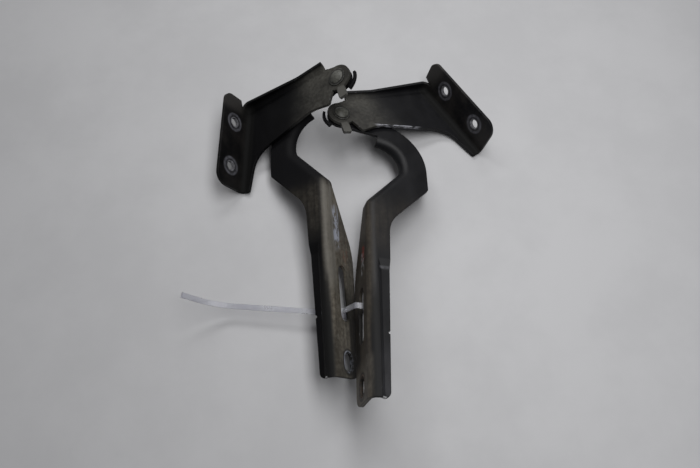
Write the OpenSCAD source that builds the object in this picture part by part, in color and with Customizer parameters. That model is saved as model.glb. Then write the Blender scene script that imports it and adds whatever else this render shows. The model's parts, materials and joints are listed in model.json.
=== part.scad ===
// Handed pair of pressed-steel bonnet hinges, laid down and held together by a cable tie.
// Each hinge is drawn once in its own frame and mirrored for the other hand.
// Hinge frame: origin on the pivot axis, X outboard, Y along the arm to its free end,
// Z along the pivot axis to the rivet's head. The arm lies below the bracket.

/* [Sheet] */
// Thickness of the pressed steel
sheet = 3; // [2:0.1:4]
// Outside radius of the bracket's bends
bend_r = 7.5; // [5:0.5:8]
// Outside radius of the arm's bends
arm_bend_r = 8; // [5:0.5:9]

/* [Body bracket] */
// Pivot axis to the outer face of the mounting flange
bracket_reach = 116; // [105:0.5:130]
// Length of the mounting flange along its bend
mount_len = 103; // [92:1:115]
// Mounting flange's upper end, above the pivot
mount_top = 5; // [0:1:12]
// Height of the mounting flange from the underside of the web
mount_h = 39; // [34:1:48]
// Upper outside corner radius of the mounting flange
mount_r_top = 9; // [4:1:14]
// Lower outside corner radius of the mounting flange
mount_r_low = 13; // [6:1:18]
// Diameter of the two body bolt holes
bolt_d = 9; // [7:0.5:11]
// Distance between the two body bolt holes
bolt_pitch = 50; // [40:1:54]
// First body bolt hole below the pivot
bolt_first = 25; // [22:1:30]
// Bolt holes above the underside of the web
bolt_h = 23; // [19:1:26]
// Straight part of the turned-up lip above its bend
lip_rise = 0.8; // [0.5:0.1:4]
// Further rise of the lip where it meets the mounting flange
lip_corner_rise = 4; // [1:0.5:8]
// Radius of the bracket's lobe round the pivot
lobe_r = 14; // [13:0.5:16]
// Width of the stop tab beside the lobe
tab_w = 8.5; // [6:0.5:11]
// Pivot axis to the tip of the stop tab
tab_reach = 25; // [22:0.5:30]

/* [Bonnet arm] */
// Bay radius inside the gooseneck
bay_r = 26; // [22:0.5:30]
// Pivot axis to the centre of the bay, outboard
bay_x = 36.5; // [33:0.5:39]
// Pivot axis to the near edge of the bay
bay_y = 25; // [23:0.5:30]
// Width of the gooseneck's slanting neck
neck_w = 30.5; // [26:0.5:36]
// Direction of the slanting neck
neck_angle = 130.5; // [125:0.5:136]
// Angle by which the neck widens towards the bay
neck_flare = 2.5; // [0:0.5:5]
// Pivot axis to the outer face of the bonnet flange
flange_x = 27; // [25:0.5:31]
// Pivot axis to the free end of the arm
arm_len = 282.5; // [260:0.5:310]
// Width of the arm's web at its free end
web_w = 17; // [15:0.5:22]
// Greatest depth of the bonnet flange below the web
flange_d = 41.5; // [38:0.5:48]
// Depth of the bonnet flange at its free end
flange_end_d = 35.5; // [32:0.5:40]
// Width of the long adjusting slot in the bonnet flange
slot_w = 13; // [10:0.5:15]
// Length of the long adjusting slot, end to end
slot_len = 52; // [40:1:60]
// Middle of the long slot from the arm's free end
slot_back = 74.5; // [68:0.5:82]
// Width of the short end slot
hole_w = 12; // [9:0.5:13]
// Length of the short end slot, end to end
hole_len = 17; // [14:0.5:20]
// Middle of the short slot from the arm's free end
hole_back = 13.5; // [12:0.5:18]
// Depth of both slots' centre line below the web
slot_d = 22; // [20:0.5:23]
// Depth of the joggle pressed into the web
joggle = 2.5; // [1:0.1:2.8]
// Start of the joggle from the pivot
joggle_y = 162; // [150:1:175]
// Slope of the joggle along the arm
joggle_slope = 14; // [10:1:45]
// Radius of the arm's lobe round the pivot
arm_lobe_r = 13; // [11:0.5:14]
// Width of the arm's curved stop finger
finger_w = 2.6; // [2:0.1:3.5]

/* [Pivot] */
// Diameter of the rivet's bearing shank
shank_d = 9; // [8:0.5:11]
// Diameter of the rivet's riveted end in the arm
tail_d = 8; // [6:0.5:8.5]
// Diameter of the rivet's domed head
head_d = 14; // [12:0.5:17]
// Height of the rivet's domed head
head_h = 3; // [2:0.25:4]
// Diameter of the formed rivet end under the arm
clench_d = 12; // [10:0.5:14]
// Height of the formed rivet end under the arm
clench_h = 2.6; // [2:0.2:4]
// Wall of the flanged bush
bush_wall = 1.5; // [1:0.1:2]
// Diameter of the bush's flange
bush_flange_d = 22; // [18:0.5:25]
// Gap between bracket and arm that the bush's flange fills
pivot_gap = 2; // [1:0.1:3]
// Diameter of the washer under the rivet's head
head_washer_d = 18; // [15:0.5:22]
// Thickness of the washer under the rivet's head
head_washer_t = 1; // [0.6:0.1:1.6]
// Diameter of the washer under the arm
tail_washer_d = 17; // [14:0.5:20]
// Thickness of the washer under the arm
tail_washer_t = 1.5; // [1:0.1:2]

/* [Pose of the pair] */
// Swing of the left bracket on its arm, open is negative
left_swing = -5.7; // [-20:0.1:0]
// Swing of the right bracket on its arm, open is negative
right_swing = -34.1; // [-50:0.1:-20]

/* [Cable tie] */
// Width of the cable tie's strap
tie_w = 4.8; // [3.6:0.2:6]
// Thickness of the cable tie's strap
tie_t = 1.1; // [0.9:0.1:1.2]
// Length of the loose tail
tie_tail = 112; // [60:1:130]

/* [Clearances] */
// Radial running clearance of the rivet in its bush
run_clear = 0.05; // [0.02:0.01:0.1]
// Face clearance of the turning pieces along the pivot
face_clear = 0.1; // [0.05:0.05:0.3]
// Radial clearance of pieces that are pressed or riveted in
seat_clear = 0.02; // [0.01:0.01:0.05]
// Clearance between the cable tie and the arms
tie_clear = 0.6; // [0.3:0.05:0.8]

/* [Hidden] */
$fn = 64;

// Colours of the finishes
coat_black = [0.07, 0.07, 0.075];
zinc_grey = [0.40, 0.40, 0.38];
bronze = [0.45, 0.36, 0.22];
nylon = [0.86, 0.87, 0.90];

// Outline corners are [x, y, rounding radius, 1 where the edge that starts here is flanged,
// flange depth at the corner], listed with the material on the right of the way round.

function unit(v) = v / norm(v);
function right_of(v) = [v.y, -v.x];
function heading(a) = [cos(a), sin(a)];
function side(u, v) = u.x * v.y - u.y * v.x;
function turn(u, v) = atan2(side(u, v), u * v);
function meet(p, u, q, v) = p + u * side(q - p, v) / side(u, v);
function spot(c, i) = [c[i].x, c[i].y];
function after(c, i) = (i + 1) % len(c);
function before(c, i) = (i + len(c) - 1) % len(c);
function way(c, i) = unit(spot(c, after(c, i)) - spot(c, i));
function bends(c, i) = turn(way(c, before(c, i)), way(c, i));
function run_in(c, i) = c[i][2] * tan(abs(bends(c, i)) / 2);

// Centre of the arc that rounds corner i
function arc_centre(c, i) =
  let (u = way(c, before(c, i)), s = bends(c, i) < 0 ? 1 : -1)
  spot(c, i) - u * run_in(c, i) + right_of(u) * s * c[i][2];

// Points that replace corner i
function corner_points(c, i) =
  c[i][2] <= 0 ? [spot(c, i)] :
  let (
    u = way(c, before(c, i)), b = bends(c, i), m = arc_centre(c, i),
    arm = spot(c, i) - u * run_in(c, i) - m, n = ceil(abs(b) / 5)
  )
  [for (k = [0 : n]) let (a = b * k / n)
    m + [arm.x * cos(a) - arm.y * sin(a), arm.x * sin(a) + arm.y * cos(a)]];

function rounded(c) = [for (i = [0 : len(c) - 1]) each corner_points(c, i)];

// The outline with its flanged edges moved in by o, where the flat web starts
function inset(c, o) =
  [for (i = [0 : len(c) - 1])
    let (
      j = before(c, i), u = way(c, j), v = way(c, i), both = c[i][3] * c[j][3],
      p = spot(c, i) + right_of(u) * o * c[j][3],
      q = spot(c, i) + right_of(v) * o * c[i][3],
      x = abs(side(u, v)) < 0.001 ? p : meet(p, u, q, v),
      r = both == 0 ? c[i][2] : bends(c, i) > 0 ? c[i][2] + o : max(c[i][2] - o, 0)
    )
    [x.x, x.y, r, c[i][3], c[i][4]]];

// Width by which flange and web share material at their seam
seam = 1.2;
// Bends lie this far inside the faces of the web and the flange plates, arcs by one step and runs by two,
// and each reaches into the next by the lap
step = 0.02;
lap = 0.3;

// Section of a bend with its web seam and a flange wall of the given depth, drawn s inside the faces:
// the bend's outside radius r, the flange's outer face at x = 0, the web's outer face at y = 0
module wall_section(r, depth, s) {
  translate([r, -r]) intersection() {
    difference() {
      circle(r - s);
      circle(r - sheet + s);
    }
    translate([-r, 0]) square(r);
  }
  translate([r, s - sheet]) square([seam, sheet - 2 * s]);
  translate([s, s - depth]) square([sheet - 2 * s, depth - r - s]);
}

// Flanged straight stretch after corner i
module flange_run(c, i, r) {
  j = after(c, i);
  v = way(c, i);
  along = atan2(v.y, v.x);
  start = run_in(c, i) + (c[before(c, i)][3] == 1 ? -lap : 2 * step);
  end = run_in(c, j) + (c[j][3] == 1 ? -lap : 2 * step);
  length = norm(spot(c, j) - spot(c, i)) - start - end;
  p = spot(c, i) + v * start;
  q = p + v * length;
  translate([q.x, q.y, 0]) rotate([90, 0, along - 90]) linear_extrude(length)
    wall_section(r, min(c[i][4], c[j][4]), 2 * step);
  if (c[i][4] != c[j][4]) {
    translate([p.x, p.y, 0]) rotate([90, 0, along]) translate([0, 0, 3 * step])
      linear_extrude(sheet - 6 * step)
        polygon([[0, -c[i][4]], [length, -c[j][4]], [length, -r - step], [0, -r - step]]);
  }
}

// Flanged arc round corner i
module flange_arc(c, i, r) {
  u = way(c, before(c, i));
  b = bends(c, i);
  m = arc_centre(c, i);
  into = atan2(u.y, u.x);
  if (b > 0) {
    translate([m.x, m.y, 0]) rotate(into - 90) rotate_extrude(angle = b)
      translate([c[i][2], 0]) wall_section(r, c[i][4], step);
  } else {
    translate([m.x, m.y, 0]) rotate(into + 90 + b) rotate_extrude(angle = -b)
      translate([c[i][2], 0]) mirror([1, 0]) wall_section(r, c[i][4], step);
  }
}

// All flanges of an outline, hanging below its web on bends of radius r
module flanges(c, r) {
  for (i = [0 : len(c) - 1]) {
    if (c[i][3] == 1) {
      flange_run(c, i, r);
      if (c[before(c, i)][3] == 1) flange_arc(c, i, r);
    }
  }
}

// Slot through a flange that faces X, with its middle at (y, z)
module slot_cut(y, z, width, length) {
  half = (length - width) / 2;
  depth = 4 * sheet;
  translate([flange_x - sheet, y, z]) {
    for (s = [-1, 1]) translate([0, s * half, 0]) rotate([0, 90, 0]) cylinder(d = width, h = depth);
    translate([0, -half, -width / 2]) cube([depth, 2 * half, width]);
  }
}

// Bonnet arm

// Turn of the bay's edge where its flange starts, and before the small corner into the neck
bay_turn = 6;
hook_turn = 96;
// Straight stretch between the bay's arc and that corner
hook_flat = 1.5;
hook_corner_r = 8;
// Width of the gooseneck outside the bay
hook_w = 26.5;
hook_r = 57;
hook_top = 9;
// Depth of the turned-down edge round the bay, and where it meets the bonnet flange
edge_d = arm_bend_r + 0.6;
knee_d = 15;
knee_r = 13;
// Width of the web below the neck
web_top_w = 21.2;
web_r = 35;
arm_top = -pivot_gap;

bay_centre = [bay_x, bay_y + bay_r];
function bay_at(a) = bay_centre + bay_r * [sin(a), -cos(a)];
bay_lead = bay_at(bay_turn) - heading(bay_turn);
bay_corner = meet(bay_lead, heading(bay_turn), bay_at(hook_turn), heading(hook_turn));
neck_corner = bay_at(hook_turn)
  + heading(hook_turn) * (hook_flat + hook_corner_r * tan((neck_angle - hook_turn) / 2));
knee = meet(neck_corner, heading(neck_angle), [flange_x, 0], [0, 1]);
neck_outer = neck_corner + right_of(heading(neck_angle)) * neck_w;
hook_out = bay_x + bay_r + hook_w;
web_corner = meet(neck_outer, heading(neck_angle), [flange_x + web_top_w, 0], [0, 1]);
hook_corner = meet(web_corner, heading(neck_angle + neck_flare), [hook_out, 0], [0, 1]);
slot_y = arm_len - slot_back;
hole_y = arm_len - hole_back;

arm_outline = [
  [5, arm_lobe_r - 2.5, 0, 0, 0],
  [bay_lead.x, bay_lead.y, 0, 1, edge_d],
  [bay_corner.x, bay_corner.y, bay_r, 1, edge_d],
  [neck_corner.x, neck_corner.y, hook_corner_r, 1, edge_d],
  [knee.x, knee.y, knee_r, 1, knee_d],
  [flange_x, arm_len, 0, 0, knee_d],
  [flange_x + web_w, arm_len, 5, 0, 0],
  [web_corner.x, web_corner.y, web_r, 0, 0],
  [hook_corner.x, hook_corner.y, 4, 0, 0],
  [hook_out, hook_top, hook_r, 0, 0],
  [2, 0.5 - arm_lobe_r, 0, 0, 0]
];

// Outline of the bonnet flange, along the arm and down
knee_end = knee.y + run_in(arm_outline, 4);
flange_full_y = 165;
// Depth that the rounding takes off the corners below
flange_cut = 1.5;
flange_outline = [
  [knee_end - lap, -arm_bend_r, 0],
  [knee_end - lap, -knee_d, 0],
  [flange_full_y, -flange_d - flange_cut, 60],
  [arm_len, -flange_end_d - flange_cut, 10],
  [arm_len, -arm_bend_r, 0]
];

// Side views of the joggle, with the way along the arm or across it as x and the pivot axis as y:
// what is pressed out above the web, and what is left below it
joggle_x = flange_x + arm_bend_r + seam + 0.1;
joggle_side = 40;
joggle_low = sheet + joggle;
spare = 1;

module pressed_above(start, slope) {
  polygon([
    [start - spare / tan(slope), spare], [start + joggle / tan(slope), -joggle],
    [2 * arm_len, -joggle], [2 * arm_len, spare]
  ]);
}

module left_below(start, slope) {
  fall = joggle + spare;
  polygon([
    [-arm_len, -sheet], [start, -sheet],
    [start + fall / tan(slope), -sheet - fall], [-arm_len, -sheet - fall]
  ]);
}

module along_arm() {
  translate([-arm_len, 0, 0]) rotate([90, 0, 90]) linear_extrude(2 * arm_len) children();
}

module across_arm() {
  translate([0, 2 * arm_len, 0]) rotate([90, 0, 0]) linear_extrude(3 * arm_len) children();
}

// Flat of the arm, with a hollow pressed into its outer side
module arm_web() {
  difference() {
    translate([0, 0, -joggle_low]) linear_extrude(joggle_low)
      polygon(rounded(inset(arm_outline, arm_bend_r + seam / 2)));
    intersection() {
      along_arm() pressed_above(joggle_y, joggle_slope);
      across_arm() pressed_above(joggle_x, joggle_side);
    }
    along_arm() left_below(joggle_y, joggle_slope);
    across_arm() left_below(joggle_x, joggle_side);
  }
}

// Curved finger beside the lobe, and the root that carries it
finger_r = arm_lobe_r + 2.4;
finger_from = 124;
finger_to = 190;
finger_root = 12;
module stop_finger() {
  translate([0, 0, -sheet]) {
    rotate(finger_from) rotate_extrude(angle = finger_to - finger_from)
      translate([finger_r, 0]) square([finger_w, sheet]);
    rotate(finger_from) rotate_extrude(angle = finger_root)
      translate([arm_lobe_r - 2, 0]) square([finger_r + finger_w + 2 - arm_lobe_r, sheet]);
  }
}

// Half-round locating notch in the web's outer edge
notch_r = 1.5;
notch_y = arm_len - 53;
notch_x = flange_x + web_w + (web_top_w - web_w) * (arm_len - notch_y) / (arm_len - web_corner.y);

module bonnet_arm() {
  color(coat_black) translate([0, 0, arm_top]) difference() {
    union() {
      arm_web();
      flanges(arm_outline, arm_bend_r);
      translate([flange_x, 0, 0]) rotate([90, 0, 90]) linear_extrude(sheet) polygon(rounded(flange_outline));
      translate([0, 0, -sheet]) cylinder(r = arm_lobe_r, h = sheet);
      stop_finger();
    }
    translate([0, 0, -2 * sheet]) cylinder(d = tail_d + 2 * seat_clear, h = 3 * sheet);
    slot_cut(slot_y, -slot_d, slot_w, slot_len);
    slot_cut(hole_y, -slot_d, hole_w, hole_len);
    translate([notch_x, notch_y, -3 * sheet]) cylinder(r = notch_r, h = 4 * sheet);
  }
}

// Body bracket

// Upper edge of the bracket: where the turned-up lip meets the mounting flange, bends and ends
lip_slope = 189.3;
lip_bend = [45, -14.6];
lip_end = [17, -21.6];
lip_foot = [11.5, -13.8];
lip_bend_r = 60;
lip_corner = meet(lip_bend, heading(lip_slope), [bracket_reach, 0], [0, 1]);
lip_corner_r = bend_r + seam + 1;
lip_h = bend_r + lip_rise;
lip_corner_h = lip_h + lip_corner_rise;
mount_low = mount_len - mount_top;
tab_angle = 107;

bracket_outline = [
  [bracket_reach, mount_low, 0, 1, lip_h],
  [lip_corner.x, lip_corner.y, lip_corner_r, 1, lip_corner_h],
  [lip_bend.x, lip_bend.y, lip_bend_r, 1, lip_h],
  [lip_end.x, lip_end.y, 0, 0, lip_h],
  [lip_foot.x, lip_foot.y, 2, 0, 0],
  [2, 0.5 - lobe_r, 0, 0, 0],
  [4, 9, 0, 0, 0],
  [9, 27.5, 3, 0, 0],
  [30, 27, 40, 0, 0],
  [bracket_reach - 16.5, 58, 28, 0, 0],
  [bracket_reach - 11, mount_low, 2, 0, 0]
];

// Outline of the mounting flange, along its bend and up, with a shoulder where the lip meets it
mount_shoulder = 4;
mount_start = lip_corner.y + run_in(bracket_outline, 1);
mount_outline = [
  [mount_start - lap, bend_r, 0],
  [mount_start - lap, lip_corner_h, 0],
  [-mount_top, lip_corner_h + mount_shoulder, 0],
  [-mount_top, mount_h, mount_r_top],
  [mount_low, mount_h, mount_r_low],
  [mount_low, bend_r, 0]
];

// Stop tab that stands out beside the lobe
module stop_tab() {
  half = tab_w / 2;
  tab_r = 1.5;
  linear_extrude(sheet) rotate(tab_angle)
    polygon(rounded([[0, half, 0], [tab_reach, half, tab_r], [tab_reach, -half, tab_r], [0, -half, 0]]));
}

bush_r = shank_d / 2 + run_clear + bush_wall;
bush_seat_r = bush_r + seat_clear;

module body_bracket() {
  color(coat_black) difference() {
    union() {
      linear_extrude(sheet) polygon(rounded(inset(bracket_outline, bend_r + seam / 2)));
      cylinder(r = lobe_r, h = sheet);
      stop_tab();
      mirror([0, 0, 1]) flanges(bracket_outline, bend_r);
      translate([bracket_reach - sheet, 0, 0]) rotate([90, 0, 90]) linear_extrude(sheet)
        polygon(rounded(mount_outline));
    }
    translate([0, 0, -sheet]) cylinder(r = bush_seat_r, h = 3 * sheet);
    for (k = [0, 1]) translate([bracket_reach - 3 * sheet, bolt_first + k * bolt_pitch, bolt_h])
      rotate([0, 90, 0]) cylinder(d = bolt_d, h = 4 * sheet);
  }
}

// Pivot

// Rivet, turned about the pivot axis: domed head, bearing shank, riveted end, formed end
head_low = sheet + face_clear + head_washer_t;
tail_low = arm_top - sheet - tail_washer_t;

function dome(r, h) = (r * r + h * h) / (2 * h);

module pivot_rivet() {
  color(zinc_grey) {
    translate([0, 0, arm_top]) cylinder(d = shank_d, h = head_low - arm_top);
    translate([0, 0, tail_low]) cylinder(d = tail_d, h = arm_top - tail_low);
    translate([0, 0, head_low]) domed(head_d / 2, head_h);
    translate([0, 0, tail_low]) mirror([0, 0, 1]) domed(clench_d / 2, clench_h);
  }
}

// Low dome of base radius r and height h
module domed(r, h) {
  rim = 0.6;
  ball = dome(r, h - rim);
  cylinder(r = r, h = rim);
  intersection() {
    translate([0, 0, h - ball]) sphere(ball);
    translate([0, 0, rim]) cylinder(r = r, h = h);
  }
}

// Flanged bush, pressed into the bracket, with its flange between bracket and arm
module pivot_bush() {
  color(bronze) difference() {
    union() {
      cylinder(r = bush_r, h = sheet);
      translate([0, 0, face_clear - pivot_gap]) cylinder(d = bush_flange_d, h = pivot_gap - face_clear);
    }
    translate([0, 0, -2 * pivot_gap]) cylinder(r = shank_d / 2 + run_clear, h = 2 * sheet + 2 * pivot_gap);
  }
}

// Plain washer with its lower face at z
module washer(d, bore, t, z) {
  color(zinc_grey) translate([0, 0, z]) difference() {
    cylinder(d = d, h = t);
    translate([0, 0, -t]) cylinder(d = bore, h = 3 * t);
  }
}

module head_washer() {
  washer(head_washer_d, shank_d + 2 * seat_clear, head_washer_t, sheet + face_clear);
}

module tail_washer() {
  washer(tail_washer_d, tail_d + 2 * seat_clear, tail_washer_t, tail_low);
}

// Placing the pair

// Pivot of each hinge above the floor, and the tilt of its frame
left_pos = [-9.71, 130.65, 64.06];
left_turn = [-2.05, 30.88, -176.14];
right_pos = [-8.35, 107.38, 37.06];
right_turn = [10.18, -16.1, 177.76];

function roll(p, a) = [p.x, p.y * cos(a) - p.z * sin(a), p.y * sin(a) + p.z * cos(a)];
function tip(p, a) = [p.x * cos(a) + p.z * sin(a), p.y, p.z * cos(a) - p.x * sin(a)];
function spin(p, a) = [p.x * cos(a) - p.y * sin(a), p.x * sin(a) + p.y * cos(a), p.z];
function turned(p, t) = spin(tip(roll(p, t.x), t.y), t.z);
// Where a point of the hinge frame lies in the pair
function left_at(p) = left_pos + turned(p, left_turn);
function right_at(p) = right_pos + turned([-p.x, p.y, p.z], right_turn);

module left_hand() {
  translate(left_pos) rotate(left_turn) children();
}

module right_hand() {
  translate(right_pos) rotate(right_turn) mirror([1, 0, 0]) children();
}

module left_bracket_side() {
  left_hand() rotate(left_swing) children();
}

module right_bracket_side() {
  right_hand() rotate(right_swing) children();
}

// Cable tie

// The strap lies in one upright plane through the long slots of both arms.
// Plane frame: x level, towards the right hinge, y up from the floor.
tie_angle = -4;
// Where the strap goes through the slots, along the arms
tie_left_y = slot_y + 16;
tie_right_y = slot_y - 9;
slot_mid = arm_top - slot_d;
tie_left = left_at([flange_x + sheet / 2, tie_left_y, slot_mid]);

function in_tie(p) =
  let (d = p - tie_left, h = heading(tie_angle))
  [d.x * h.x + d.y * h.y, p.z];

// Depth of the bonnet flange's free edge at a distance from the pivot
function flange_at(y) =
  let (a = flange_outline[2], b = flange_outline[3])
  -a.y - (b.y - a.y) * (y - a.x) / (b.x - a.x);

slot_low = slot_mid - slot_w / 2;
left_slot_back = in_tie(left_at([flange_x + sheet, tie_left_y, slot_low]));
left_free_front = in_tie(left_at([flange_x, tie_left_y, arm_top - flange_at(tie_left_y)]));
left_free_back = in_tie(left_at([flange_x + sheet, tie_left_y, arm_top - flange_at(tie_left_y)]));
right_slot_back = in_tie(right_at([flange_x + sheet, tie_right_y, slot_mid]));
right_free_back = in_tie(right_at([flange_x + sheet, tie_right_y, arm_top - flange_at(tie_right_y)]));
// Where the strap bows before it enters the right slot square to the flange
tie_bow = 5;
tie_peak = in_tie(right_at([flange_x - tie_bow, tie_right_y, slot_mid]));

// Loop of the strap's middle line, once round the strip below each slot
tie_low = left_free_back.y - tie_t / 2 - tie_clear;
tie_slack = 2.5;
tie_r = 2.4;
tie_lean = 1;
head_foot = [left_slot_back.x - 2 * tie_slack - tie_lean / 2, left_slot_back.y - 3 * tie_slack];
tie_loop = [
  [head_foot.x - tie_lean, tie_left.z, tie_r, 1, 0],
  [0, tie_left.z, tie_r, 1, 0],
  [tie_peak.x, tie_peak.y, tie_r, 1, 0],
  [right_slot_back.x + tie_slack, right_slot_back.y, tie_r, 1, 0],
  [right_free_back.x + tie_slack, right_free_back.y - tie_slack, tie_r, 1, 0],
  [left_free_front.x + tie_slack, tie_low, tie_r, 1, 0],
  [left_free_back.x - tie_slack, tie_low, tie_r, 1, 0],
  [head_foot.x, head_foot.y, tie_r, 1, 0]
];

// Locking head on the strap behind the left flange
tie_head = [5.4, 7.2, 7.4];
head_mid = head_foot + [-tie_lean / 2, 3 * tie_head.y / 4];
module tie_lock() {
  half = tie_head.y / 2;
  right_side = head_mid.x + tie_t / 2;
  left_side = right_side - tie_head.x;
  head_r = 0.9;
  linear_extrude(tie_head.z, center = true) polygon(rounded([
    [left_side, head_mid.y + half, head_r], [right_side, head_mid.y + half, head_r],
    [right_side, head_mid.y - half, head_r], [left_side, head_mid.y - half, head_r]
  ]));
}

// Loose tail that leaves the head to the left and curls up at its end
tail_curl = [-24, 24];
tail_curl_r = 45;
tail_drop = 2;
module tie_end() {
  start = head_mid - [2, 0];
  knee_at = start + [-tie_tail, -tail_drop];
  end = knee_at + tail_curl;
  u = unit(knee_at - start);
  v = unit(end - knee_at);
  h = tie_t / 2;
  below = meet(start - right_of(u) * h, u, knee_at - right_of(v) * h, v);
  above = meet(start + right_of(u) * h, u, knee_at + right_of(v) * h, v);
  a = start - right_of(u) * h;
  b = end - right_of(v) * h;
  c = end + right_of(v) * h;
  d = start + right_of(u) * h;
  linear_extrude(tie_w, center = true) polygon(rounded([
    [a.x, a.y, 0], [below.x, below.y, tail_curl_r + h], [b.x, b.y, 0],
    [c.x, c.y, 0], [above.x, above.y, tail_curl_r - h], [d.x, d.y, 0]
  ]));
}

module cable_tie() {
  color(nylon) translate([tie_left.x, tie_left.y, 0]) rotate([90, 0, tie_angle]) {
    linear_extrude(tie_w, center = true) difference() {
      polygon(rounded(inset(tie_loop, -tie_t / 2)));
      polygon(rounded(inset(tie_loop, tie_t / 2)));
    }
    tie_lock();
    tie_end();
  }
}

module left_body_bracket() { left_bracket_side() body_bracket(); }
module left_pivot_bush() { left_bracket_side() pivot_bush(); }
module left_bonnet_arm() { left_hand() bonnet_arm(); }
module left_pivot_rivet() { left_hand() pivot_rivet(); }
module left_head_washer() { left_hand() head_washer(); }
module left_tail_washer() { left_hand() tail_washer(); }
module right_body_bracket() { right_bracket_side() body_bracket(); }
module right_pivot_bush() { right_bracket_side() pivot_bush(); }
module right_bonnet_arm() { right_hand() bonnet_arm(); }
module right_pivot_rivet() { right_hand() pivot_rivet(); }
module right_head_washer() { right_hand() head_washer(); }
module right_tail_washer() { right_hand() tail_washer(); }

left_body_bracket();
left_bonnet_arm();
left_pivot_rivet();
left_pivot_bush();
left_head_washer();
left_tail_washer();
right_body_bracket();
right_bonnet_arm();
right_pivot_rivet();
right_pivot_bush();
right_head_washer();
right_tail_washer();
cable_tie();
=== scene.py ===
import json
import math

import bpy
from mathutils import Matrix, Vector

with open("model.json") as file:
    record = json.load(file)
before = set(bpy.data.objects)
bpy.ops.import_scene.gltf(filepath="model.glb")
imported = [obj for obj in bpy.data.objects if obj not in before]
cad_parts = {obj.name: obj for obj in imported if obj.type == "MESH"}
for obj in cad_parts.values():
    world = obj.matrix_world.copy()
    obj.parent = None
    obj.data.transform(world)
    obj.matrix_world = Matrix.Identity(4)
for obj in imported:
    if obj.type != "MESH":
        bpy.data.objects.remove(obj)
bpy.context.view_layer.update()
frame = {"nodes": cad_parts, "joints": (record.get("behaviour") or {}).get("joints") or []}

MM = 0.001

# The hinges as they lie: turns of each hinge frame and swing of its bracket, in degrees.
# Hinge frame in mm: x outboard, y along the arm, z along the pivot; the right hand is mirrored in x.
HINGES = {
    "left": {"joint": "left_pivot", "turn": (-2.05, 30.88, -176.14), "swing": -5.7, "x_sign": 1},
    "right": {"joint": "right_pivot", "turn": (10.18, -16.1, 177.76), "swing": -34.1, "x_sign": -1},
}
PIVOTS = {joint["name"]: joint["pos_m"] for joint in frame["joints"]}

# Sizes of the hinge that the finish is placed by, in mm
BRACKET_REACH = 116.0  # from the pivot to the mounting face
LOWER_EDGE = 13.6  # the bracket's lower edge is the line y = LOWER_EDGE + LOWER_EDGE_RISE x
LOWER_EDGE_RISE = 0.446
FLANGE_X = 27.0  # where the bonnet flange starts
NECK_END = 116.0  # where the arm's neck ends at the knee
HOLLOW_Y = 162.0  # where the pressed hollow of the arm's web starts
BEND_DUST_Y = 190.0  # where the dust on the arm's bend starts to thin out

# Holes and slots with a mark round them: middle y and z, and half the straight length
BOLT_HOLES = (((25.0, 23.0), 0.0), ((75.0, 23.0), 0.0))
END_SLOT = (((269.0, -24.0), 2.5),)

# Zones of a bracket: low, high and width of the fade in mm along each axis, None on an open side
PIVOT_END = {"X": (None, 20, 44), "Z": (None, 4, 5)}
MOUNT_BEND = {"X": (BRACKET_REACH - 9, None, 4), "Z": (None, 8, 4)}
MOUNT_FLANGE = {"X": (BRACKET_REACH - 6, None, 3), "Z": (9, None, 5)}
MOUNT_TOP = {"Y": (None, 6, 10), "Z": (18, None, 9)}
STOP_TAB = {"X": (-14, -2, 2), "Y": (13, 26, 3)}
LOWER_EDGE_RUB = {"edge": (LOWER_EDGE - 0.8, None, 0.6), "X": (32, 66, 8)}

# Zones of an arm, in the same form
DUSTY_FLANGE = {"X": (None, FLANGE_X + 0.5, 3)}
DUSTY_BEND = {"X": (None, FLANGE_X + 1.5, 6), "Y": (None, BEND_DUST_Y, 50)}
DUSTY_WEB = {"Y": (None, HOLLOW_Y - 30, 34)}
BELOW_NECK = {"Y": (NECK_END, None, 34)}
FLANGE_SHEET = {"X": (None, FLANGE_X + 4, 2)}
ON_FLANGE = (FLANGE_X - 1, FLANGE_X + 4, 1)

# Deep and faded colours of each hand's film, and its gloss: the left one is duller, and its colours are
# painted blacker, as shade
COAT_AND_SHADE = {"left": ("#040405", "#0a0a0c"), "right": ("#08080b", "#131316")}
COAT_GLOSS = {"left": 0.18, "right": 0.28}

# Thin and thick road dust, the lengths in mm of the runs that it is washed into,
# and how much of it lies on each mounting flange
BRACKET_DUST = ("#3d3b37", "#504f4a")
BRACKET_RUNS = (25, 12, 12)
ARM_DUST = {"left": ("#514b42", "#716c62"), "right": ("#403a32", "#534d44")}
ARM_RUNS = (3, 55, 3)
MOUNT_DUST = {"left": 0.4, "right": 0.8}

# Clean and dusty colours of the pivot's steel pieces; the washers' are darkened, painted shade round the
# rivet heads
RIVET_STEEL = ("#3f3f3a", "#5a5a54")
WASHER_STEEL_AND_SHADE = ("#1a1a18", "#302f2b")

# Colour of the rubbed rim of each arm's end slot
END_SLOT_RUB = {"left": "#7f838c", "right": "#5b4a3e"}

# Marks round the bolt holes: inner and outer radius and fade in mm, colour, strength
WASHER_MARKS = (
    # Thin film that the washer pressed on, the rubbed rim of the hole, the rim of the washer
    (5.0, 10.0, 0.8, "#4a4a4f", 0.5),
    (4.3, 5.3, 0.5, "#8c8c91", 0.9),
    (7.9, 9.4, 0.8, "#5c5c62", 0.9),
)
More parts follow.
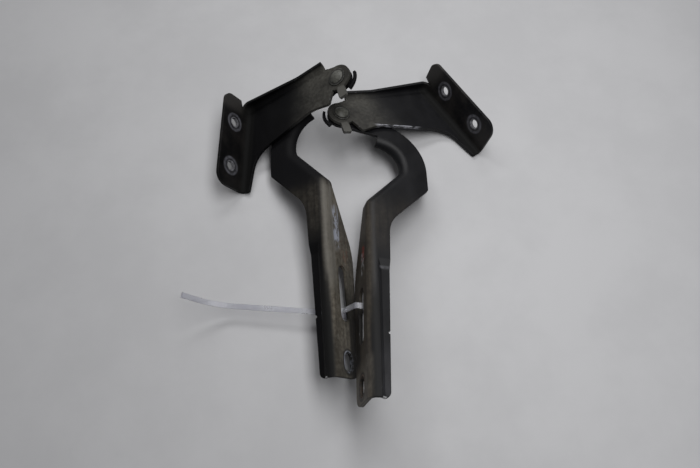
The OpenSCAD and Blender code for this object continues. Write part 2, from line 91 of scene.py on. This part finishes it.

# Marks of use, painted highlights and painted shade on the arms: zone, size of the grain in mm and where it
# is cut, colour, roughness, strength
ARM_MARKS = {
    "left": (
        # Painted highlight along the bend from the knee down: a lighter streak
        {"zone": {"X": (26, 31, 2), "Y": (112, 190, 30), "Z": (-13, -5, 3)},
         "grain": (9, 60, 9), "cut": (0.2, 0.6), "colour": "#6c6963", "rough": 0.6, "strength": 0.8},
        # Long bluish scratches on the flange between knee and slot
        {"zone": {"X": ON_FLANGE, "Y": (132, 158, 14), "Z": (-21, -16, 4)},
         "grain": (5, 9, 2.5), "cut": (0.4, 0.56), "colour": "#989ca8", "rough": 0.4, "strength": 0.95},
        # Darker grime towards the end of the flange
        {"zone": {"X": ON_FLANGE, "Y": (272, None, 22)},
         "grain": (9, 25, 9), "cut": (0.2, 0.6), "colour": "#262420", "rough": 0.65, "strength": 0.6},
        # Painted shade on the neck, which lies under the bracket: dark and matte
        {"zone": {"Y": (None, 92, 16)},
         "grain": (20, 20, 20), "cut": (0.1, 0.35), "colour": "#060609", "rough": 0.75, "strength": 0.85},
        # Painted shade along the lower bend: dark and matte, it dims the bend's highlight
        {"zone": {"X": (30.5, 36, 2.5), "Y": (205, None, 25)},
         "grain": (9, 30, 9), "cut": (0.15, 0.45), "colour": "#0e0e0e", "rough": 0.75, "strength": 0.8},
        # Painted shade where the other arm's flange lies close
        {"zone": {"X": ON_FLANGE, "Y": (222, None, 25), "Z": (None, -31, 5)},
         "grain": (9, 30, 9), "cut": (0.1, 0.45), "colour": "#141312", "rough": 0.65, "strength": 0.8},
        # Rusty smear above the slot
        {"zone": {"X": ON_FLANGE, "Y": (160, 180, 6), "Z": (-34, -24, 3)},
         "grain": (5, 12, 5), "cut": (0.45, 0.7), "colour": "#6a4a3c", "rough": 0.7, "strength": 0.6},
        # Chips at the web's end
        {"zone": {"X": (35.5, 38, 0.5), "Y": (281.8, 283, 0.5)},
         "grain": (4, 4, 4), "cut": (0.4, 0.5), "colour": "#c8c8ca", "rough": 0.4, "strength": 0.7},
    ),
    "right": (
        # Rust specks on the flange
        {"zone": {"X": ON_FLANGE, "Y": (144, 156, 3), "Z": (-21, -14, 2)},
         "grain": (2.5, 2.5, 2.5), "cut": (0.47, 0.55), "colour": "#8a3a30", "rough": 0.7, "strength": 1.0},
        # White scrape below them
        {"zone": {"X": ON_FLANGE, "Y": (151, 168, 4), "Z": (-22, -16, 2)},
         "grain": (3, 9, 2.5), "cut": (0.48, 0.56), "colour": "#b4b6bc", "rough": 0.4, "strength": 0.85},
        # Painted highlight along the upper rim of the pressed hollow
        {"zone": {"X": (38, 47, 1.5), "Y": (169, 170.5, 1)},
         "grain": (9, 5, 9), "cut": (0.3, 0.55), "colour": "#77777d", "rough": 0.4, "strength": 0.3},
        # Paler dust towards the tip of the flange
        {"zone": {"X": (26, 30, 2), "Y": (258, 284, 14)},
         "grain": (8, 20, 8), "cut": (0.25, 0.6), "colour": "#6b665e", "rough": 0.62, "strength": 0.55},
        # Thin grey film on the end of the web
        {"zone": {"X": (36, None, 3), "Y": (262, None, 30)},
         "grain": (12, 30, 12), "cut": (0.25, 0.65), "colour": "#3c3c40", "rough": 0.5, "strength": 0.5},
        # Painted shade where the other arm's flange lies close
        {"zone": {"X": ON_FLANGE, "Y": (208, 244, 14), "Z": (None, -29, 4)},
         "grain": (9, 30, 9), "cut": (0.1, 0.45), "colour": "#151413", "rough": 0.65, "strength": 0.8},
        # Painted shade along the lower bend: dark and matte, it dims the bend's highlight
        {"zone": {"X": (31, 36, 2.5), "Y": (205, None, 25)},
         "grain": (9, 30, 9), "cut": (0.15, 0.45), "colour": "#0e0e0e", "rough": 0.75, "strength": 0.65},
        # Chips at the web's end
        {"zone": {"X": (37.5, 40, 0.5), "Y": (281.8, 283, 0.5)},
         "grain": (4, 4, 4), "cut": (0.4, 0.5), "colour": "#c8c8ca", "rough": 0.4, "strength": 0.7},
    ),
}


def linear(hex_colour):
    """An sRGB hex colour as linear RGBA."""
    channels = [int(hex_colour[i:i + 2], 16) / 255 for i in (1, 3, 5)]
    return tuple(
        c / 12.92 if c <= 0.04045 else ((c + 0.055) / 1.055) ** 2.4 for c in channels
    ) + (1.0,)


def add(tree, kind, links=None, **settings):
    """Adds a node; links gives its sockets values or other nodes' outputs."""
    node = tree.nodes.new(kind)
    for name, value in settings.items():
        setattr(node, name, value)
    for socket, value in (links or {}).items():
        if isinstance(value, bpy.types.NodeSocket):
            tree.links.new(value, node.inputs[socket])
        else:
            node.inputs[socket].default_value = value
    return node


def new_material(name):
    """An empty node material and its tree."""
    material = bpy.data.materials.new(name)
    material.use_nodes = True
    material.node_tree.nodes.clear()
    return material, material.node_tree


def join_masks(tree, operation, *masks):
    """Masks joined one after another: MULTIPLY keeps what all share, MAXIMUM what any has."""
    result = masks[0]
    for mask in masks[1:]:
        result = add(tree, "ShaderNodeMath", {0: result, 1: mask}, operation=operation).outputs[0]
    return result


def window(tree, sources, zone):
    """A soft-edged box: zone gives low, high and width of the fade for some of the sources."""
    masks = []
    for source, (low, high, soft) in zone.items():
        for edge, outside in ((low, -soft), (high, soft)):
            if edge is not None:
                masks.append(add(tree, "ShaderNodeMapRange", {
                    "Value": sources[source], "From Min": edge + outside, "From Max": edge,
                }, interpolation_type="SMOOTHSTEP").outputs[0])
    return join_masks(tree, "MULTIPLY", *masks)


def grain(tree, place, size, low=0.35, high=0.65, least=0.0):
    """Cloudy mask from least to 1, cut from its noise between low and high.
    Its clouds measure size along x, y and z, in the units of place."""
    scaled = add(tree, "ShaderNodeMapping", {"Vector": place, "Scale": [1 / s for s in size]})
    noise = add(tree, "ShaderNodeTexNoise", {
        "Vector": scaled.outputs[0], "Scale": 1.0, "Detail": 5.0, "Roughness": 0.65,
    })
    return add(tree, "ShaderNodeMapRange", {
        "Value": noise.outputs[0], "From Min": low, "From Max": high, "To Min": least,
    }, interpolation_type="SMOOTHSTEP").outputs[0]


def lay(tree, under, over, mask):
    """One finish over another by a mask: each finish is its colour and its roughness."""
    colour = add(tree, "ShaderNodeMix", {0: mask, 6: under[0], 7: over[0]}, data_type="RGBA")
    rough = add(tree, "ShaderNodeMix", {0: mask, 2: under[1], 3: over[1]})
    return colour.outputs[2], rough.outputs[0]


def hinge_place(tree, hand, on_bracket):
    """Sockets of the hinge frame's position in mm and of its X, Y and Z."""
    hinge = HINGES[hand]
    coords = add(tree, "ShaderNodeTexCoord")
    place = add(tree, "ShaderNodeMapping", {
        "Vector": coords.outputs["Object"],
        "Location": PIVOTS[hinge["joint"]],
        "Rotation": [math.radians(angle) for angle in hinge["turn"]],
        "Scale": (hinge["x_sign"] * MM, MM, MM),
    }, vector_type="TEXTURE")
    if on_bracket:
        place = add(tree, "ShaderNodeMapping", {
            "Vector": place.outputs[0], "Rotation": (0, 0, math.radians(hinge["swing"])),
        }, vector_type="TEXTURE")
    parts = add(tree, "ShaderNodeSeparateXYZ", {0: place.outputs[0]})
    return place.outputs[0], {axis: parts.outputs[axis] for axis in "XYZ"}


def sheet_edges(tree, radius_mm):
    """Where the surface turns sharply, and the rounded normal there."""
    rounded = add(tree, "ShaderNodeBevel", {"Radius": radius_mm * MM}, samples=6).outputs[0]
    flat = add(tree, "ShaderNodeNewGeometry")
    along = add(tree, "ShaderNodeVectorMath", {
        0: rounded, 1: flat.outputs["Normal"],
    }, operation="DOT_PRODUCT")
    return window(tree, {"along": along.outputs["Value"]}, {"along": (None, 0.8, 0.18)}), rounded


def ring(tree, place, slots, inner, outer, soft):
    """Rings round holes or slots in a flange that faces x."""
    masks = []
    for middle, half in slots:
        spot = place
        for operation, value in (
            ("SUBTRACT", (0, *middle)), ("ABSOLUTE", (0, 0, 0)), ("SUBTRACT", (0, half, 0)),
            ("MAXIMUM", (0, 0, 0)), ("MULTIPLY", (0, 1, 1)),
        ):
            spot = add(tree, "ShaderNodeVectorMath", {0: spot, 1: value}, operation=operation).outputs[0]
        reach = add(tree, "ShaderNodeVectorMath", {0: spot}, operation="LENGTH").outputs["Value"]
        masks.append(window(tree, {"reach": reach}, {"reach": (inner, outer, soft)}))
    return join_masks(tree, "MAXIMUM", *masks)


def electrocoat(name, hand, on_bracket, dust_mask, dust_colours, run_size, marks):
    """Black electrocoat on pressed steel: a thin, even, satin film that keeps deep blacks,
    dulled to olive brown by baked-on road dust and rubbed to bare steel along some edges."""
    material, tree = new_material(name)
    place, xyz = hinge_place(tree, hand, on_bracket)

    # The film fades a little in drifts some centimetres across
    drift = grain(tree, place, (30, 45, 30), 0.3, 0.7)
    # Deep and faded colours of the film, painted blacker as shade on the left hand
    deep, faded = (linear(colour) for colour in COAT_AND_SHADE[hand])
    finish = lay(tree, (deep, 0.42), (faded, 0.5), drift)

    # Road dust lies in patches a couple of centimetres across, mottled every few millimetres
    patch = grain(tree, place, (22, 40, 22), 0.25, 0.7, least=0.5)
    mottle = grain(tree, place, (3.5, 3.5, 3.5), 0.3, 0.7)
    runs = grain(tree, place, run_size, 0.3, 0.65, least=0.5)
    thin, thick = (linear(colour) for colour in dust_colours)
    dust = lay(tree, (thin, 0.6), (thick, 0.66), mottle)
    finish = lay(tree, finish, dust, join_masks(tree, "MULTIPLY", dust_mask(tree, xyz), patch, runs))

    finish = marks(tree, hand, place, xyz, finish)

    # Sheet edges are darkened, painted shade that draws their dark outlines, and show bare steel in a few
    # short rubbed stretches
    edge, rounded = sheet_edges(tree, 0.8)
    finish = lay(tree, finish, (linear("#0c0c0d"), 0.5), join_masks(tree, "MULTIPLY", edge, 0.85))
    rubbed = join_masks(tree, "MULTIPLY", edge, grain(tree, place, (7, 7, 7), 0.6, 0.7))
    finish = lay(tree, finish, (linear("#85858a"), 0.4), rubbed)

    # Orange peel of the film, drawn at 1.5 mm so that it shows, over the 26 mm waves of pressed sheet
    peel = add(tree, "ShaderNodeTexNoise", {"Vector": place, "Scale": 1 / 1.5, "Detail": 2.0})
    waves = add(tree, "ShaderNodeTexNoise", {"Vector": place, "Scale": 1 / 26, "Detail": 1.0})
    slow = add(tree, "ShaderNodeBump", {
        "Height": waves.outputs[0], "Strength": 0.3, "Distance": 2 * MM, "Normal": rounded,
    })
    bump = add(tree, "ShaderNodeBump", {
        "Height": peel.outputs[0], "Strength": 0.1, "Distance": 0.1 * MM, "Normal": slow.outputs[0],
    })
    shader = add(tree, "ShaderNodeBsdfPrincipled", {
        "Base Color": finish[0], "Roughness": finish[1], "Normal": bump.outputs[0],
        "Specular IOR Level": COAT_GLOSS[hand],
    })
    add(tree, "ShaderNodeOutputMaterial", {"Surface": shader.outputs[0]})
    return material


def bracket_dust(tree, xyz):
    """Dust gathers round the greased pivot and thins out along the web."""
    return window(tree, xyz, PIVOT_END)


def arm_dust(tree, xyz):
    """Dust covers the bonnet flange and its bend from the knee on, and thinly the web above the hollow."""
    flange = window(tree, xyz, DUSTY_FLANGE)
    bend = window(tree, xyz, DUSTY_BEND)
    web = join_masks(tree, "MULTIPLY", window(tree, xyz, DUSTY_WEB), 0.3)
    below_neck = window(tree, xyz, BELOW_NECK)
    return join_masks(tree, "MULTIPLY", join_masks(tree, "MAXIMUM", flange, bend, web), below_neck)


def bracket_marks(tree, hand, place, xyz, finish):
    """Painted shade in the bend, dust, painted light at the top and washer marks on the mounting flange, and
    the rubbed places.
    """
    # Painted shade in the mounting bend: dark and matte, it dims the bend's highlight
    finish = lay(tree, finish, (linear("#080808"), 0.8), window(tree, xyz, MOUNT_BEND))

    on_flange = window(tree, xyz, MOUNT_FLANGE)
    cloud = grain(tree, place, (20, 20, 20), 0.3, 0.7)
    thin_dust = join_masks(tree, "MULTIPLY", on_flange, cloud, MOUNT_DUST[hand])
    finish = lay(tree, finish, (linear("#2c2927"), 0.62), thin_dust)
    # Painted light: the top of the mounting flange made paler, where more light falls on it
    painted_top_light = join_masks(tree, "MULTIPLY", on_flange, window(tree, xyz, MOUNT_TOP), 0.6)
    finish = lay(tree, finish, (linear("#3a3836"), 0.6), painted_top_light)

    scuff = grain(tree, place, (4, 4, 4), 0.35, 0.65, least=0.3)
    for inner, outer, soft, colour, strength in WASHER_MARKS:
        washer = ring(tree, place, BOLT_HOLES, inner, outer, soft)
        mask = join_masks(tree, "MULTIPLY", washer, on_flange, scuff, strength)
        finish = lay(tree, finish, (linear(colour), 0.5), mask)

    tab_rub = join_masks(tree, "MULTIPLY", window(tree, xyz, STOP_TAB), 0.6)
    finish = lay(tree, finish, (linear("#62615d"), 0.5), tab_rub)

    # The lower edge is rubbed bright on the right bracket only
    if hand == "right":
        edge = add(tree, "ShaderNodeMath", {
            0: xyz["X"], 1: -LOWER_EDGE_RISE, 2: xyz["Y"],
        }, operation="MULTIPLY_ADD")
        line = window(tree, {"edge": edge.outputs[0], "X": xyz["X"]}, LOWER_EDGE_RUB)
        mask = join_masks(tree, "MULTIPLY", line, grain(tree, place, (12, 5, 5), 0.42, 0.58))
        finish = lay(tree, finish, (linear("#a4a5ac"), 0.35), mask)
    return finish


def arm_marks(tree, hand, place, xyz, finish):
    """Scrapes, rust, grime, chips, painted highlights and painted shade of one arm, and the washer's mark
    round its end slot.
    """
    for mark in ARM_MARKS[hand]:
        broken = grain(tree, place, mark["grain"], *mark["cut"])
        mask = join_masks(tree, "MULTIPLY", window(tree, xyz, mark["zone"]), broken, mark["strength"])
        finish = lay(tree, finish, (linear(mark["colour"]), mark["rough"]), mask)

    on_flange = window(tree, xyz, FLANGE_SHEET)
    grime = join_masks(tree, "MULTIPLY", ring(tree, place, END_SLOT, 6.0, 8.4, 1.2), on_flange, 0.7)
    finish = lay(tree, finish, (linear("#1b1a1a"), 0.6), grime)
    broken = grain(tree, place, (5, 6, 5), 0.4, 0.62)
    rubbed = join_masks(tree, "MULTIPLY", ring(tree, place, END_SLOT, 6.3, 7.0, 0.6), on_flange, broken)
    return lay(tree, finish, (linear(END_SLOT_RUB[hand]), 0.5), rubbed)


def pivot_steel(name, hand, colours, rough):
    """Headed or stamped steel under a thin coat and oily dust: olive grey, with bright rubbed rims."""
    material, tree = new_material(name)
    place, _ = hinge_place(tree, hand, False)
    clean, dusty = (linear(colour) for colour in colours)
    finish = lay(tree, (clean, rough), (dusty, rough + 0.1), grain(tree, place, (3, 3, 3)))
    edge, rounded = sheet_edges(tree, 0.5)
    rubbed = join_masks(tree, "MULTIPLY", edge, grain(tree, place, (6, 6, 6), 0.45, 0.6))
    finish = lay(tree, finish, (linear("#8f8f8c"), 0.4), rubbed)
    # Pitting of the coat, drawn at 1.2 mm so that it shows
    pits = add(tree, "ShaderNodeTexNoise", {"Vector": place, "Scale": 1 / 1.2, "Detail": 3.0})
    bump = add(tree, "ShaderNodeBump", {
        "Height": pits.outputs[0], "Strength": 0.2, "Distance": 0.15 * MM, "Normal": rounded,
    })
    shader = add(tree, "ShaderNodeBsdfPrincipled", {
        "Base Color": finish[0], "Roughness": finish[1], "Normal": bump.outputs[0],
    })
    add(tree, "ShaderNodeOutputMaterial", {"Surface": shader.outputs[0]})
    return material


def sintered_bronze(name, hand):
    """Oil-filled sintered bronze: dull brown gold with fine dark pores."""
    material, tree = new_material(name)
    place, _ = hinge_place(tree, hand, True)
    # Pores drawn at 0.8 mm, coarser than real ones, so that they show
    pores = grain(tree, place, (0.8, 0.8, 0.8), 0.4, 0.6)
    colour, rough = lay(tree, (linear("#4a3a24"), 0.6), (linear("#8a6f45"), 0.45), pores)
    shader = add(tree, "ShaderNodeBsdfPrincipled", {
        "Base Color": colour, "Metallic": 1.0, "Roughness": rough,
    })
    add(tree, "ShaderNodeOutputMaterial", {"Surface": shader.outputs[0]})
    return material


def moulded_nylon():
    """Natural nylon, moulded: milky, lilac grey and half see-through, with fine ribs across the strap."""
    material, tree = new_material("moulded_nylon")
    coords = add(tree, "ShaderNodeTexCoord")
    cloud = grain(tree, coords.outputs["Object"], (15 * MM, 15 * MM, 15 * MM))
    colour, rough = lay(tree, (linear("#d0d0d9"), 0.34), (linear("#dedfe5"), 0.27), cloud)
    # Ribs every 1.3 mm along the strap; bands of scale 1 repeat every 2 pi / 20
    rib_pitch = 1.3 * MM
    ribs = add(tree, "ShaderNodeTexWave", {
        "Vector": coords.outputs["Object"], "Scale": 2 * math.pi / rib_pitch / 20,
    }, bands_direction="X")
    bump = add(tree, "ShaderNodeBump", {
        "Height": ribs.outputs[0], "Strength": 0.3, "Distance": 0.15 * MM,
    })
    shader = add(tree, "ShaderNodeBsdfPrincipled", {
        "Base Color": colour, "Roughness": rough, "IOR": 1.53, "Normal": bump.outputs[0],
        "Transmission Weight": 0.75,
    })
    add(tree, "ShaderNodeOutputMaterial", {"Surface": shader.outputs[0]})
    return material


def painted_board():
    """Pale painted board: flat grey white, a little uneven over some 150 mm."""
    material, tree = new_material("painted_board")
    coords = add(tree, "ShaderNodeTexCoord")
    cloud = grain(tree, coords.outputs["Object"], (150 * MM, 150 * MM, 150 * MM))
    colour, rough = lay(tree, (linear("#bebec0"), 0.62), (linear("#c4c4c6"), 0.57), cloud)
    shader = add(tree, "ShaderNodeBsdfPrincipled", {"Base Color": colour, "Roughness": rough})
    add(tree, "ShaderNodeOutputMaterial", {"Surface": shader.outputs[0]})
    return material


def dress(node, material):
    """Gives a CAD node one material."""
    mesh = frame["nodes"][node].data
    mesh.materials.clear()
    mesh.materials.append(material)


def tube_light(name, place, target, length, width, power):
    """A long soft tube of light at a place, turned to a target; metres and watts."""
    lamp = bpy.data.lights.new(name, "AREA")
    lamp.shape = "RECTANGLE"
    lamp.size = length
    lamp.size_y = width
    lamp.energy = power
    light = bpy.data.objects.new(name, lamp)
    light.location = place
    light.rotation_euler = (Vector(target) - Vector(place)).to_track_quat("-Z", "Y").to_euler()
    bpy.context.scene.collection.objects.link(light)


# Finish of every piece
for hand in HINGES:
    dress(hand + "_body_bracket", electrocoat(
        hand + "_bracket_electrocoat", hand, True, bracket_dust, BRACKET_DUST, BRACKET_RUNS, bracket_marks))
    dress(hand + "_bonnet_arm", electrocoat(
        hand + "_arm_electrocoat", hand, False, arm_dust, ARM_DUST[hand], ARM_RUNS, arm_marks))
    dress(hand + "_pivot_rivet", pivot_steel(hand + "_headed_rivet_steel", hand, RIVET_STEEL, 0.45))
    # The washers are painted dark, as the shade round the rivet heads
    washer_steel_and_shade = pivot_steel(hand + "_stamped_washer_steel", hand, WASHER_STEEL_AND_SHADE, 0.5)
    dress(hand + "_head_washer", washer_steel_and_shade)
    dress(hand + "_tail_washer", washer_steel_and_shade)
    dress(hand + "_pivot_bush", sintered_bronze(hand + "_sintered_bronze", hand))
dress("cable_tie", moulded_nylon())

# Floor, wide enough to reach past every view and a hair below the hinges
FLOOR_HALF = 40.0
FLOOR_DROP = 0.2 * MM
corners = [(x * FLOOR_HALF, y * FLOOR_HALF, 0) for x, y in ((-1, -1), (1, -1), (1, 1), (-1, 1))]
floor_mesh = bpy.data.meshes.new("floor")
floor_mesh.from_pydata(corners, [], [(0, 1, 2, 3)])
floor_mesh.materials.append(painted_board())
floor = bpy.data.objects.new("floor", floor_mesh)
floor.location.z = -FLOOR_DROP
bpy.context.scene.collection.objects.link(floor)

# Two tubes and a dim even room
tube_light("tube_over", place=(0.2, 0.05, 0.74), target=(0.1, 0.03, 0), length=0.8, width=0.3, power=3.7)
tube_light("tube_behind", place=(-0.35, 1.65, 1.7), target=(0.05, 0.05, 0), length=2.0, width=0.5, power=18.5)

world = bpy.data.worlds.new("soft_room")
world.use_nodes = True
world.node_tree.nodes.clear()
room = add(world.node_tree, "ShaderNodeBackground", {"Color": linear("#f4f4f6"), "Strength": 0.15})
add(world.node_tree, "ShaderNodeOutputWorld", {"Surface": room.outputs[0]})
bpy.context.scene.world = world

# Camera of the photo: 550 px of focal length in a picture 700 px wide, its place, its back and its top
PICTURE_W = 700
FOCAL_PX = 550
CAMERA_AT = Vector((15.51, -233.09, 491.08)) * MM
CAMERA_BACK = Vector((0.026, -0.417, 0.908))
CAMERA_TOP = Vector((0.0, 0.909, 0.417))
camera_data = bpy.data.cameras.new("camera")
camera_data.sensor_width = 36.0
camera_data.lens = camera_data.sensor_width * FOCAL_PX / PICTURE_W
camera_data.clip_start = 10 * MM
camera = bpy.data.objects.new("camera", camera_data)
back = CAMERA_BACK.normalized()
right = CAMERA_TOP.cross(back).normalized()
up = back.cross(right)
camera.matrix_world = Matrix.Translation(CAMERA_AT) @ Matrix((right, up, back)).transposed().to_4x4()
bpy.context.scene.collection.objects.link(camera)
bpy.context.scene.camera = camera

bpy.context.scene.view_settings.view_transform = "Standard"
